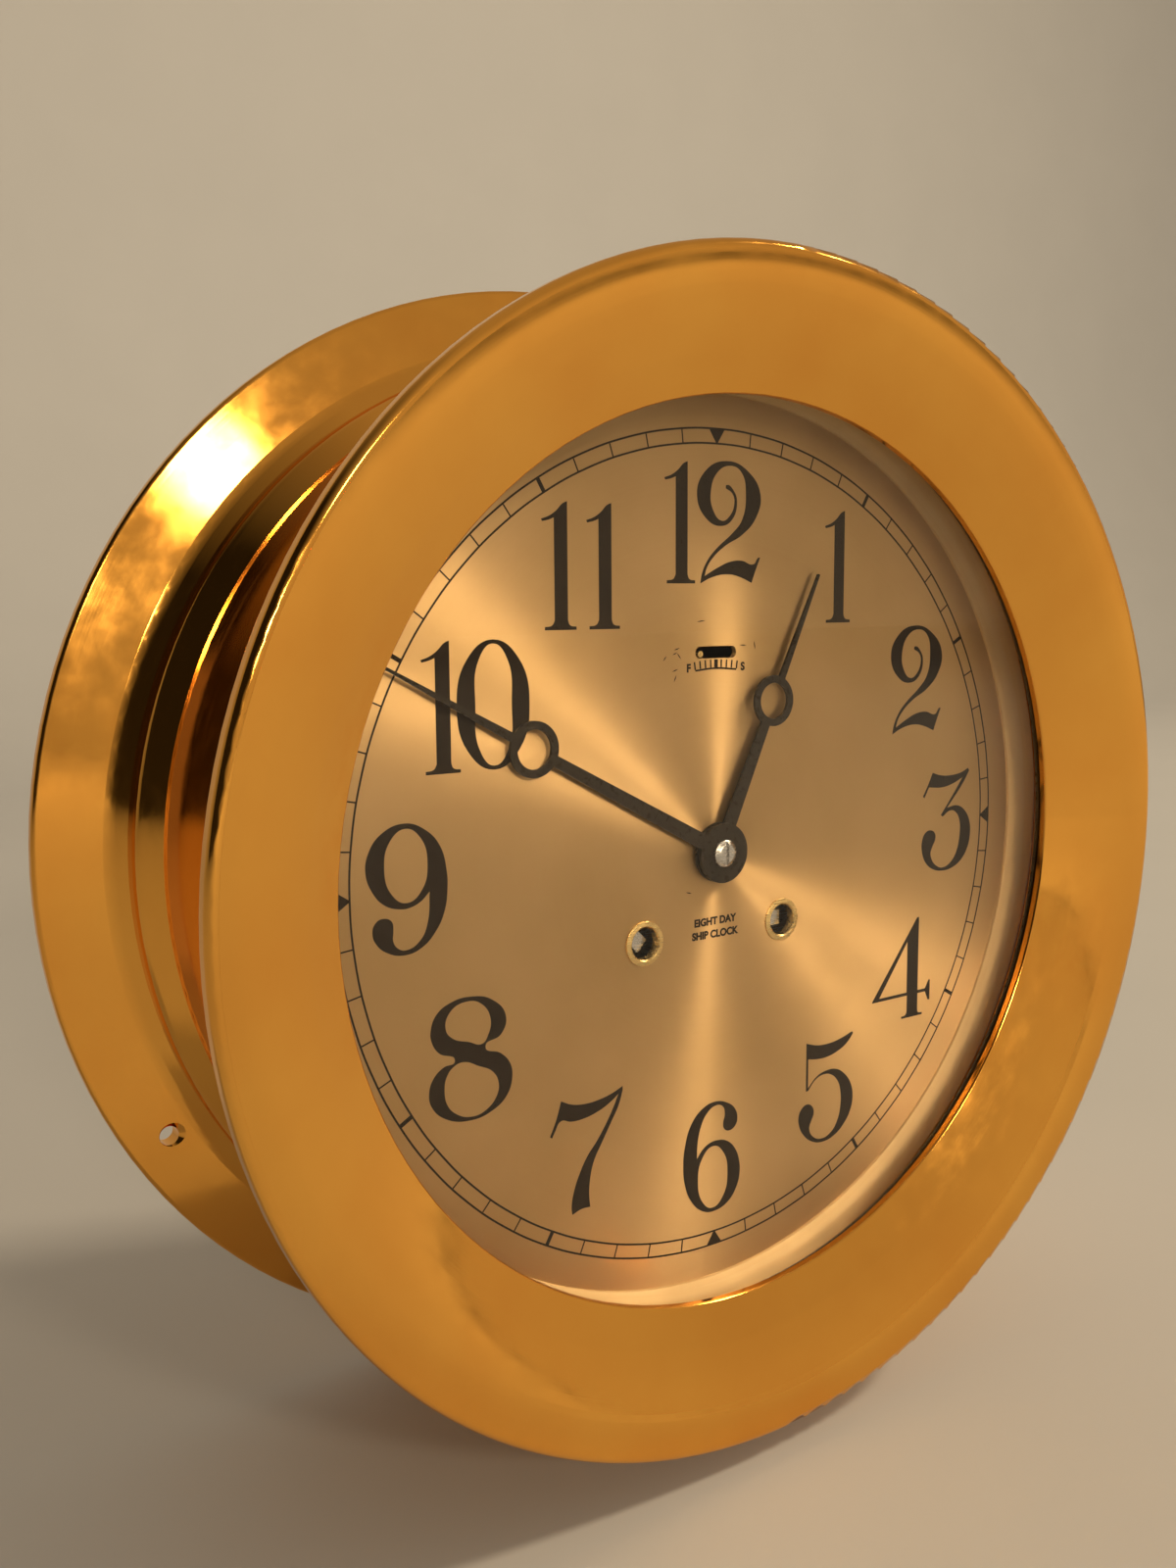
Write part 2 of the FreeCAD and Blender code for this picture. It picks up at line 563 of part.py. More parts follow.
def winding_arbor(place, turn):
    """Barrel arbor with its key square; turn is the square's angle at rest."""
    body = rod(place, FRONT_PLATE_Y - 0.4, REAR_PLATE_Y - 0.3, WINDING_ARBOR_R)
    pivot = rod(place, REAR_PLATE_Y - 0.5, REAR_OUTER_Y - 0.2, 2.0)
    half = WINDING_SQUARE / math.sqrt(2)
    square = prism([polar(half, turn + 45 + 90 * k, place) for k in range(4)], -68.2, FRONT_PLATE_Y)
    return fuse([body, pivot, square])


def ratchet_wheel(place, turn):
    points = []
    teeth = 24
    for tooth in range(teeth):
        points.append(polar(9.0, tooth * 360.0 / teeth, place))
        points.append(polar(7.8, (tooth + 0.12) * 360.0 / teeth, place))
    half = (WINDING_SQUARE + 0.04) / math.sqrt(2)
    hole = prism([polar(half, turn + 45 + 90 * k, place) for k in range(4)], -70, -60)
    return prism(points, RATCHET_FRONT_Y, RATCHET_BACK_Y).cut(hole)


def outward(place):
    """+1 on the right-hand barrel, -1 on the left-hand one."""
    return math.copysign(1.0, place[0])


def click_stud_place(place):
    return (place[0] + 11.0 * outward(place), place[1] - 8.5)


def click(place):
    """Pawl beside the ratchet, held just off the tooth tips."""
    stud = click_stud_place(place)
    side = outward(place)
    tip = (place[0] + 9.35 * side, place[1] + 1.2)
    nose = prism([tip, (stud[0] + 2.0 * side, stud[1] + 1.5), (stud[0] - 1.6 * side, stud[1] + 0.8),
                  (place[0] + 9.3 * side, place[1] - 1.2)], RATCHET_FRONT_Y, RATCHET_BACK_Y)
    return fuse([rod(stud, -65.2, -63.8, 2.3), nose]).cut(rod(stud, -70, -60, 1.0 + RUNNING_GAP))


def click_stud(place):
    stud = click_stud_place(place)
    return fuse([rod(stud, -65.6, FRONT_PLATE_Y + 1.5, 1.0), rod(stud, -66.4, -65.5, 2.0)])


def click_spring(place):
    stud = click_stud_place(place)
    side = outward(place)
    anchor = (stud[0] + 4.5 * side, stud[1] - 7.0)
    blade = bar(anchor, (stud[0] + 4.2 * side, stud[1] + 6.0), 0.5, 0.3, -65.0, -64.0)
    return fuse([rod(anchor, -65.4, FRONT_PLATE_Y, 1.6), blade])


# ---- going train --------------------------------------------------------------------
def centre_wheel():
    arbor = rod(CENTRE, -72.3, -33.0, CENTRE_ARBOR_R)
    pivot = rod(CENTRE, -33.5, REAR_OUTER_Y - 0.2, PIVOT_R)
    leaves = toothed(CENTRE, GREAT_MODULE, GREAT_LEAVES, CENTRE_PHASE, -39.6, -36.2, LEAF_TOOTH)
    disc = wheel(CENTRE, CENTRE_MODULE, CENTRE_TEETH, CENTRE_WHEEL_PHASE, -35.5, -34.3)
    return fuse([arbor, pivot, leaves, disc, rod(CENTRE, -36.3, -33.6, 3.2)])


def train_wheel(place, pinion, pinion_phase, pinion_y, wheel_gear, wheel_phase, wheel_y):
    """Wheel and pinion on one arbor; gears are (module, teeth) pairs."""
    arbor = arbor_between_plates(place)
    leaves = toothed(place, pinion[0], pinion[1], pinion_phase, pinion_y[0], pinion_y[1], LEAF_TOOTH)
    disc = wheel(place, wheel_gear[0], wheel_gear[1], wheel_phase, wheel_y[0], wheel_y[1])
    collet = rod(place, wheel_y[0] - 0.6, wheel_y[1] + 0.6, wheel_gear[0] * wheel_gear[1] * 0.11 + 0.8)
    return fuse([arbor, leaves, disc, collet])


def escape_wheel():
    arbor = rod(ESCAPE, FRONT_PLATE_Y + 0.2, -21.6, ARBOR_R)
    leaves = toothed(ESCAPE, FOURTH_MODULE, FOURTH_LEAVES, ESCAPE_PHASE, -50.4, -46.6, LEAF_TOOTH)
    points = []
    teeth = 15
    for tooth in range(teeth):
        points.append(polar(6.0, tooth * 360.0 / teeth, ESCAPE))
        points.append(polar(5.8, (tooth + 0.14) * 360.0 / teeth, ESCAPE))
        points.append(polar(4.4, (tooth + 0.3) * 360.0 / teeth, ESCAPE))
        points.append(polar(4.4, (tooth + 0.7) * 360.0 / teeth, ESCAPE))
    disc = prism(points, -25.7, -24.9)
    disc = crossed_out(disc, ESCAPE, 1.6, 3.7, -25.7, -24.9, 4)
    return fuse([arbor, leaves, disc, rod(ESCAPE, -26.0, -24.4, 1.7)])


# ---- escapement ---------------------------------------------------------------------
PLATFORM_SCREWS = ((-25.0, 26.5), (11.0, 26.5), (-25.0, 41.5), (11.0, 43.0))
COCK_FOOT = (14.5, 34.0)
LEVER_COCK_FEET = ((-26.8, 34.0), (-12.0, 25.0))


def escapement_platform():
    plate = prism([(-29.5, 24), (18, 24), (18, 44.5), (-29.5, 44.5)], REAR_OUTER_Y, -26.5)
    holes = [rod(place, -30, -25, 1.0) for place in PLATFORM_SCREWS]
    holes.append(rod(ESCAPE, -30, -25, 1.7))
    holes.append(rod(LEVER, -30, -25, 0.5 + RUNNING_GAP))
    holes.append(rod(BALANCE, -30, -25, 0.45 + RUNNING_GAP))
    return plate.cut(holes)


def lever_cock():
    """Bridge that carries the rear pivots of the escape wheel and the lever."""
    feet = [rod(place, -26.5, -20.0, 1.8) for place in LEVER_COCK_FEET]
    bridge = [bar(LEVER_COCK_FEET[0], LEVER, 4.0, 3.4, -21.4, -20.0), rod(LEVER, -21.4, -20.0, 1.7),
              bar(LEVER, LEVER_COCK_FEET[1], 3.4, 3.6, -21.4, -20.0)]
    holes = [rod(ESCAPE, -22, -19, ARBOR_R + RUNNING_GAP), rod(LEVER, -22, -19, 0.5 + RUNNING_GAP)]
    return fuse(feet + bridge).cut(holes)


def pallet_lever():
    """Lever with its two pallets; the pallets stand just clear of the escape teeth."""
    body = prism([(-9.5, 32.6), (-3.6, 33.2), (-2.7, 32.0), (-2.7, 33.0), (-3.5, 33.7), (-3.5, 34.3),
                  (-2.7, 35.0), (-2.7, 36.0), (-3.6, 34.8), (-9.5, 35.4), (-12.6, 39.6), (-14.0, 39.6),
                  (-11.3, 34.0), (-14.0, 28.4), (-12.6, 28.4)], -23.6, -22.6)
    pallets = [prism([(-14.5, z - 0.4), (-13.3, z - 0.4), (-13.3, z + 0.4), (-14.5, z + 0.4)], -25.9, -22.6)
               for z in (28.4, 39.6)]
    return fuse([body, rod(LEVER, -27.8, -20.2, 0.5)] + pallets)


def balance_wheel():
    """Rim with two arms, staff, roller and roller pin."""
    rim = tube(BALANCE, -17.0, -15.4, 10.6, 9.4)
    arms = bar((0.0, 34.0 - 9.8), (0.0, 34.0 + 9.8), 1.6, 1.6, -16.8, -15.8)
    screws = []
    for k in range(12):
        inner = polar(10.3, 15 + 30 * k, BALANCE)
        outer = polar(11.4, 15 + 30 * k, BALANCE)
        direction = vec(outer[0] - inner[0], 0, outer[1] - inner[1])
        screws.append(Part.makeCylinder(0.5, 1.1, vec(inner[0], -16.2, inner[1]), direction))
    staff = rod(BALANCE, -27.6, -11.2, 0.45)
    hub = rod(BALANCE, -18.4, -14.6, 1.4)
    roller = rod(BALANCE, -22.2, -21.4, 1.6)
    pin = rod(polar(1.25, 180, BALANCE), -23.8, -22.0, 0.25)
    return fuse([rim, arms, staff, hub, roller, pin] + screws)


def balance_cock():
    foot = prism([(12.3, 29.5), (17.5, 29.5), (17.5, 38.5), (12.3, 38.5)], -26.5, -10.8)
    arm = bar(COCK_FOOT, BALANCE, 7.0, 5.0, -12.4, -10.8)
    nose = rod(BALANCE, -12.4, -10.8, 2.9)
    boss = rod(BALANCE, -11.0, -9.4, 1.6)
    hole = rod(BALANCE, -13, -11.0, 0.45 + RUNNING_GAP)
    return fuse([foot, arm, nose, boss]).cut([hole, rod(COCK_FOOT, -17, -8, 1.25)])


def hairspring():
    return coil(BALANCE, 1.9, 5.6, 6, 0.16, -14.3, -13.3, 12)


REGULATOR_REST = 17.0
REGULATOR_REACH = 15.2


def regulator_arm():
    """Index on the balance cock, with a long finger forward to the slot in the dial."""
    tip = polar(REGULATOR_REACH, 90.0 + REGULATOR_REST, BALANCE)
    ring = rod(BALANCE, -10.5, -9.6, 3.2)
    arm = bar(BALANCE, tip, 2.4, 1.6, -10.5, -9.6)
    finger = rod(tip, DIAL_Y + 0.5, -9.6, 0.8)
    return fuse([ring, arm, finger]).cut(rod(BALANCE, -12, -8, 1.6 + RUNNING_GAP))


# ---- striking -----------------------------------------------------------------------
def fly():
    arbor = arbor_between_plates(STRIKE_FLY)
    leaves = toothed(STRIKE_FLY, WARNING_MODULE, WARNING_LEAVES, FLY_PHASE, -49.4, -45.6, LEAF_TOOTH)
    vane = bar(polar(8.0, 30, STRIKE_FLY), polar(8.0, 210, STRIKE_FLY), 0.6, 0.6, -44.5, -33.5)
    return fuse([arbor, leaves, vane, rod(STRIKE_FLY, -41.0, -37.0, 1.5)])


HAMMER_REACH = 38.7
HAMMER_DIRECTION = 66.9


def hammer():
    head_place = polar(HAMMER_REACH, HAMMER_DIRECTION, HAMMER)
    arbor = rod(HAMMER, FRONT_PLATE_Y + 0.2, -14.0, 1.2)
    collet = rod(HAMMER, -20.0, -16.0, 2.6)
    rail = bar(HAMMER, head_place, 2.4, 1.8, -18.8, -17.2)
    tail = bar(HAMMER, polar(10.0, 130, HAMMER), 3.0, 1.6, -47.0, -45.5)
    head = rod(head_place, -22.0, -14.0, 4.0)
    return fuse([arbor, collet, rail, tail, head])


def bell():
    return turned([(2.1, -7.0, 0), (23.0, -7.0, 4.0), (30.0, -12.5, 5.0), (30.0, -24.0, 0.4), (28.5, -24.0, 0.4),
                   (28.5, -13.0, 4.0), (22.5, -8.5, 3.0), (2.1, -8.5, 0)], BELL)


def bell_post():
    return turned([(0, -12.0, 0), (2.0, -12.0, 0.3), (2.0, -7.0, 0), (5.0, -7.0, 0.3), (5.0, CASE_BACK_Y, 0),
                   (2.05, CASE_BACK_Y, 0), (2.05, -0.3, 0.2), (0, -0.3, 0)], BELL)


def bell_nut():
    hexagon = prism([polar(4.2, 60 * k, BELL) for k in range(6)], -11.0, -8.5)
    return hexagon.cut(rod(BELL, -12, -8, 2.02))


# ---- output -------------------------------------------------------------------------
def write(name, shapes):
    """One STEP file per node; a list of shapes stays separate solids."""
    if isinstance(shapes, list):
        shapes = Part.makeCompound(shapes)
    for solid in shapes.Solids:
        if not solid.isValid() or solid.Volume <= 0:
            raise ValueError("bad solid in " + name)
    shapes.exportStep("parts/" + name + ".step")
    print(name, len(shapes.Solids), round(shapes.Volume, 1))


os.makedirs("parts", exist_ok=True)

write("wall_flange", wall_flange())
write("case_barrel", case_barrel())
write("back_plate", back_plate())
write("bezel_ring", bezel_ring())
write("crystal", crystal())
write("crystal_gasket", crystal_gasket())
write("retaining_ring", retaining_ring())
write("reflector_ring", reflector_ring())
write("dial_plate", dial_plate())
write("winding_grommets", [winding_grommet(place) for place in (TIME_BARREL, STRIKE_BARREL)])
write("dial_feet", [dial_foot(place) for place in DIAL_FEET])
write("dial_foot_pins", [foot_pin(place) for place in DIAL_FEET])
write("minute_hand", hand(MINUTE_HAND_Y, MINUTE_ANGLE, MINUTE_RING_AT, MINUTE_LENGTH, 2.22, (4.0, 2.5, 2.1, 0.6)))
write("hour_hand", hand(HOUR_HAND_Y, HOUR_ANGLE, HOUR_RING_AT, HOUR_LENGTH, 3.42, (4.2, 2.6, 1.9, 0.5)))
write("hand_pin", hand_pin())
write("cannon_pinion", cannon_pinion())
write("minute_wheel", minute_wheel())
write("minute_wheel_stud", minute_wheel_stud())
write("hour_wheel", hour_wheel())
write("front_plate", front_plate())
write("rear_plate", rear_plate())
write("plate_pillars", [plate_pillar(place) for place in PILLARS])
write("plate_screws", plate_screws())
write("mounting_posts", [mounting_post(place) for place in MOUNT_POSTS])
write("mounting_screws", [mounting_screw(place) for place in MOUNT_POSTS])
for prefix, barrel, strike, phase, square_turn in (("time", TIME_BARREL, False, TIME_GREAT_PHASE, 0.0),
                                                   ("strike", STRIKE_BARREL, True, STRIKE_GREAT_PHASE, 45.0)):
    write(prefix + "_barrel", barrel_wheel(barrel, strike, phase))
    write(prefix + "_barrel_cap", barrel_cap(barrel, strike))
    write(prefix + "_mainspring", mainspring(barrel, strike))
    write(prefix + "_winding_arbor", winding_arbor(barrel, square_turn))
    write(prefix + "_ratchet_wheel", ratchet_wheel(barrel, square_turn))
    write(prefix + "_click", click(barrel))
write("click_studs", [click_stud(barrel) for barrel in (TIME_BARREL, STRIKE_BARREL)])
write("click_springs", [click_spring(barrel) for barrel in (TIME_BARREL, STRIKE_BARREL)])
write("centre_wheel", centre_wheel())
write("third_wheel", train_wheel(THIRD, (CENTRE_MODULE, CENTRE_LEAVES), THIRD_PHASE, (-36.2, -33.6),
                                 (THIRD_MODULE, THIRD_TEETH), THIRD_WHEEL_PHASE, (-44.0, -43.0)))
write("fourth_wheel", train_wheel(FOURTH, (THIRD_MODULE, THIRD_LEAVES), FOURTH_PHASE, (-45.4, -41.8),
                                  (FOURTH_MODULE, FOURTH_TEETH), FOURTH_WHEEL_PHASE, (-49.0, -48.0)))
write("escape_wheel", escape_wheel())
write("escapement_platform", escapement_platform())
write("lever_cock", lever_cock())
write("pallet_lever", pallet_lever())
write("balance_wheel", balance_wheel())
write("balance_cock", balance_cock())
write("cock_screw", slotted_screw(COCK_FOOT, -10.8, -16.5, 2.2, 1.2, 1.1))
write("platform_screws", [slotted_screw(place, -26.5, -30.0, 1.7, 0.8, 0.9) for place in PLATFORM_SCREWS])
write("hairspring", hairspring())
write("regulator_arm", regulator_arm())
write("strike_second_wheel", train_wheel(STRIKE_SECOND, (GREAT_MODULE, GREAT_LEAVES), SECOND_PHASE, (-59.0, -56.0),
                                         (SECOND_MODULE, SECOND_TEETH), SECOND_WHEEL_PHASE, (-54.0, -53.0)))
write("strike_third_wheel", train_wheel(STRIKE_THIRD, (SECOND_MODULE, SECOND_LEAVES), WARNING_PHASE, (-55.4, -51.6),
                                        (WARNING_MODULE, WARNING_TEETH), WARNING_WHEEL_PHASE, (-48.0, -47.0)))
write("strike_fly", fly())
write("hammer", hammer())
write("bell", bell())
write("bell_post", bell_post())
write("bell_nut", bell_nut())
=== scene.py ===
"""Looks for a ships deck clock: finishes, dial printing, floor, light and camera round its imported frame."""
import math

import bpy
from mathutils import Matrix, Vector


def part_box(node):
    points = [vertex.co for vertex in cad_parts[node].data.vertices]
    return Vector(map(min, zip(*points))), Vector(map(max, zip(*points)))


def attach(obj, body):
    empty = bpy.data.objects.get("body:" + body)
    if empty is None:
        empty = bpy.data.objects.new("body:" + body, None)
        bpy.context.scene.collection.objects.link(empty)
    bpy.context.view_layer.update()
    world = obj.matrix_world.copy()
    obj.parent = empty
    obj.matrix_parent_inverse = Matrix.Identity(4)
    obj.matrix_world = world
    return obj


MM = 0.001

# ---- camera, at the photograph's viewing angle ---------------------------------------
CAMERA_PLACE = Vector((-220.2, -333.8, 60.7)) * MM
CAMERA_TARGET = Vector((-50.7, -90.0, 22.6)) * MM
CAMERA_ROLL = math.radians(-0.44)
CAMERA_LENS = 32.18
SENSOR_HEIGHT = 36.0
CAMERA_NEAREST = 0.01

# ---- studio: warm lamps and room, and a floor sweep, in metres -------------------------
LAMP_COLOUR = (1.0, 0.78, 0.50)
# lamp: its direction from the dial, its distance, the side of its square, and its watts
LAMPS = {
    "key_right": ((0.69, -0.33, 0.645), 3.6, 0.42, 58.0),
    "front_left": ((-0.231, -0.935, 0.269), 5.0, 0.5, 42.0),
    "front_high": ((0.03, -0.92, 0.392), 5.0, 0.5, 34.0),
}
# the room's colours, and the heights of direction (0 level, 1 overhead) between which they blend
ROOM_LOW = (0.56, 0.44, 0.29, 1.0)
ROOM_HIGH = (0.40, 0.32, 0.22, 1.0)
ROOM_LOW_UNTIL = 0.05
ROOM_HIGH_FROM = 0.75
# the room's strength rises from the left one to the full one between these two X of direction
ROOM_LEFT_X = -0.6
ROOM_FULL_X = -0.05
ROOM_LEFT_STRENGTH = 0.04
ROOM_FULL_STRENGTH = 1.0
SWEEP_NEAR = 8.0
SWEEP_FAR = 1.3
SWEEP_RADIUS = 0.9
SWEEP_TOP = 3.0
SWEEP_HALF_WIDTH = 16.0
SWEEP_STEPS = 16

# ---- dial printing, in mm on the dial: x to the right, z up, from the centre -----------
DIAL_FRONT_Y = -71.0
INK_THICKNESS = 0.04
INK_CURVE_STEPS = 6
CIRCLE_POINTS = 48
TRACK_OUTER_R = 102.0
TRACK_INNER_R = 98.1
TRACK_LINE = 0.45
MINUTE_TICK = 0.35
HOUR_TICK = 1.0
TRIANGLE_HALF_BASE = 2.3
SCALE_OUTER_R = 47.2
SCALE_INNER_R = 45.3
SCALE_SPREAD = 8.2
SCALE_DIVISIONS = 8
SCALE_LINE = 0.42
SCALE_MARK_HALF = 0.5
SCALE_BOLD_MARK_HALF = 1.3
SCALE_LETTER_HEIGHT = 2.7
SCALE_LETTER_X = 8.5
SCALE_LETTER_Z = 45.2
SMALL_LINE_HEIGHT = 2.6
UPPER_LINE_Z = -17.5
LOWER_LINE_Z = -20.8
LETTERING_BOLDNESS = 0.045
SCUFF_WIDTH = 0.26
SCUFFS = [
    ((-13.0, 49.7), (-11.2, 50.2)), ((-13.4, 48.6), (-12.0, 49.1)), ((-12.0, 49.0), (-10.8, 47.5)),
    ((-16.2, 47.2), (-15.2, 48.4)), ((-13.5, 44.6), (-11.7, 45.2)), ((-13.0, 42.1), (-12.2, 43.8)),
    ((-6.1, 56.3), (-3.3, 56.6)), ((7.4, 50.5), (9.8, 50.4)), ((12.2, 51.3), (12.5, 49.4)),
    ((-9.3, -9.2), (-7.4, -9.7)),
]

# ---- numerals: traced from the photograph, 160 units to their height, baseline at 0
NUMERAL_HEIGHT = 28.4
GRID_HEIGHT = 160.0
C = "corner"


def oval(cx, cy, rx, ry, squareness=0.5 ** 0.5):
    """Eight smooth points round an oval; a squareness over 0.71 straightens its sides."""
    points = []
    for step in range(8):
        angle = math.tau * step / 8
        reach = squareness / 0.5 ** 0.5 if step % 2 else 1.0
        points.append((cx + rx * reach * math.cos(angle), cy + ry * reach * math.sin(angle)))
    return points


GLYPHS = {
    "0": [oval(52, 80, 52, 80), oval(52, 80, 26, 75, 0.76)],
    "1": [
        [(39, 160, C), (39, 12, C), (42, 6), (52, 4, C), (52, 0, C), (4, 0, C), (4, 4, C), (15, 6),
         (19, 12, C), (19, 139.5, C), (11, 136.5), (1.5, 134.5, C), (0, 137.5, C), (12, 141.5),
         (23, 148.5), (32, 157)],
    ],
    "2": [
        [(51, 131.5), (65, 123.5), (70, 109.5), (62, 86.5), (43, 77), (17, 85.5), (0, 116.5),
         (13, 147.5), (51, 163.5), (91, 150.5), (112.5, 120.5), (105, 90.5), (79, 65.5), (51, 51.5),
         (29, 35.5), (17, 20.5), (13.5, 10, C), (37, 21.5), (59, 29.5), (79, 31), (101, 26.5),
         (107, 33.5), (109, 35.5, C), (112.5, 35.5, C), (105, 19.5), (97, 1, C), (77, 8.5), (55, 12.5),
         (27, 8.5), (6, 0, C), (9, 13.5), (19, 31.5), (35, 47.5), (63, 68.5), (79, 85.5), (86, 119.5),
         (78, 149.5), (59, 157.5), (35, 147.5), (23.5, 119.5), (28, 97.5), (43, 84), (57, 90.5),
         (65.5, 109.5), (62, 120.5), (50, 127.5, C)],
    ],
    "3": [
        [(21, 158, C), (41, 152.5), (69, 151.5), (89, 154.5), (103, 160, C), (106, 156, C), (93, 138),
         (56, 100, C), (81, 101.5), (99, 91), (110, 73), (112, 54), (105, 29), (89, 11), (69, 2),
         (51, 0), (29, 3.5), (9, 17), (0, 37), (0, 51), (7, 64), (18, 67.5), (29, 62), (30.5, 53),
         (24, 41), (20, 31), (24, 19), (35, 9), (49, 5), (69, 13), (81, 29), (87, 53), (86, 77),
         (77, 91), (64, 95), (46, 86.5, C), (42, 89.5, C), (63, 113), (91, 146, C), (69, 138),
         (45, 133.5), (13, 135.5, C), (3.5, 119.5, C), (0, 122, C), (12, 141)],
    ],
    "4": [
        [(97, 159, C), (101, 159, C), (101, 41, C), (118, 41, C), (126, 54, C), (129, 54, C),
         (129, 21.5, C), (125, 21.5, C), (118, 36, C), (101, 36, C), (101, 9, C), (103, 5),
         (112, 3.5, C), (112, 0, C), (65, 0, C), (65, 3.5, C), (74, 5), (77, 9, C), (77, 36, C),
         (0, 36, C), (0, 38, C)],
        [(76, 123, C), (76, 41, C), (15, 41, C)],
    ],
    "5": [
        [(14.5, 160, C), (36.5, 153.5), (60.5, 152), (86.5, 155.5), (109.5, 162, C), (111.5, 159, C),
         (98.5, 146), (80.5, 137), (54.5, 131.5), (36.5, 132), (18.5, 135, C), (18.5, 90, C),
         (36.5, 105), (56.5, 110.5), (76.5, 109), (94.5, 98), (108.5, 79), (112.5, 59), (108.5, 39),
         (94.5, 19), (74.5, 5), (50.5, 0), (28.5, 5), (10.5, 19), (1.5, 35), (0, 49), (6.5, 61),
         (17.5, 65.5), (28.5, 59), (31, 49), (25.5, 37), (22, 27), (29.5, 13), (48.5, 5.5), (68.5, 12),
         (80.5, 27), (86.5, 47), (86.5, 71), (80.5, 89), (66.5, 102), (50.5, 105.5), (34.5, 101),
         (18.5, 86, C), (14.5, 86, C)],
    ],
    "6": [
        [(58, 162.5), (80, 156.5), (94, 145.5), (99.5, 131.5), (96, 119.5), (85, 114), (75, 118.5),
         (73, 127.5), (76, 139.5), (72, 152.5), (58, 156.5), (42, 147.5), (32, 131.5), (26, 109.5),
         (24.5, 84.5, C), (34, 95.5), (46, 102.5), (61, 104.5), (80, 99.5), (96, 83.5), (103.5, 63.5),
         (104.5, 47.5), (98, 25.5), (82, 7.5), (56, 0), (34, 5.5), (14, 25.5), (3, 51.5), (0, 77.5),
         (3, 107.5), (14, 137.5), (34, 156.5)],
        oval(54, 51.5, 27.5, 46),
    ],
    "7": [
        [(18, 160.5, C), (35, 152.5), (55, 149), (79, 150), (101, 154.5), (118, 161, C),
         (118, 155.5, C), (111, 135.5), (99, 115.5), (83, 89.5), (70, 67.5), (64, 47.5), (61.5, 23.5),
         (63, 4, C), (49, 4.5), (34, 0, C), (33, 10.5), (37, 31.5), (47, 55.5), (59, 75.5), (75, 93.5),
         (91, 115.5), (103, 135.5), (111, 151.5, C), (95, 141.5), (75, 133.5), (51, 129), (33, 129.5),
         (17, 133.5), (8, 121.5), (3, 113, C), (0, 115.5, C), (10, 136.5)],
    ],
    "8": [
        [(59, 159.5), (91, 151), (112, 125), (104, 103), (81, 91.5), (103, 79), (117, 63), (120, 45),
         (111, 21), (87, 5), (59, 0), (23, 9), (3, 29), (0, 47), (7, 65), (21, 76), (37, 81), (15, 95),
         (5, 111), (4, 125), (13, 145), (35, 157)],
        [(55, 154), (77, 147), (89.5, 125), (85, 105), (77, 96), (57, 102), (35, 110), (25, 123),
         (31, 144)],
        [(49, 77.5), (71, 68), (91, 57), (99.5, 41), (97, 25), (81, 9), (59, 4.5), (37, 13), (25, 27),
         (21.5, 45), (25, 63), (35, 74)],
    ],
    "9": [
        [(52, 160), (80, 150), (100, 128), (108.5, 96), (109, 74), (104, 46), (92, 24), (72, 6),
         (48, 0), (26, 6), (12, 18), (7, 32), (11, 44), (22, 48.5), (33, 43), (34.5, 32), (34, 19),
         (41, 9), (52, 6), (71, 16), (81, 36), (84.5, 74, C), (72, 63), (56, 57), (44, 57), (24, 64),
         (8, 82), (0, 106), (4, 128), (20, 149)],
        oval(53.5, 108.5, 29, 45),
    ],
}

# numeral: its glyphs with each one's left edge in those units, and its centre on the dial in mm
NUMERALS = [
    ([("1", -84), ("2", -29)], (-0.9, 79.6)),
    ([("1", -26)], (40.4, 69.7)),
    ([("2", -56)], (70.6, 39.5)),
    ([("3", -56)], (84.3, -0.2)),
    ([("4", -64)], (67.3, -40.5)),
    ([("5", -56)], (38.9, -69.2)),
    ([("6", -52)], (-0.8, -78.8)),
    ([("7", -59)], (-39.1, -68.4)),
    ([("8", -60)], (-70.2, -39.1)),
    ([("9", -54)], (-85.0, 0.9)),
    ([("1", -76), ("0", -28)], (-67.1, 39.1)),
    ([("1", -60), ("1", 8)], (-39.4, 69.2)),
]


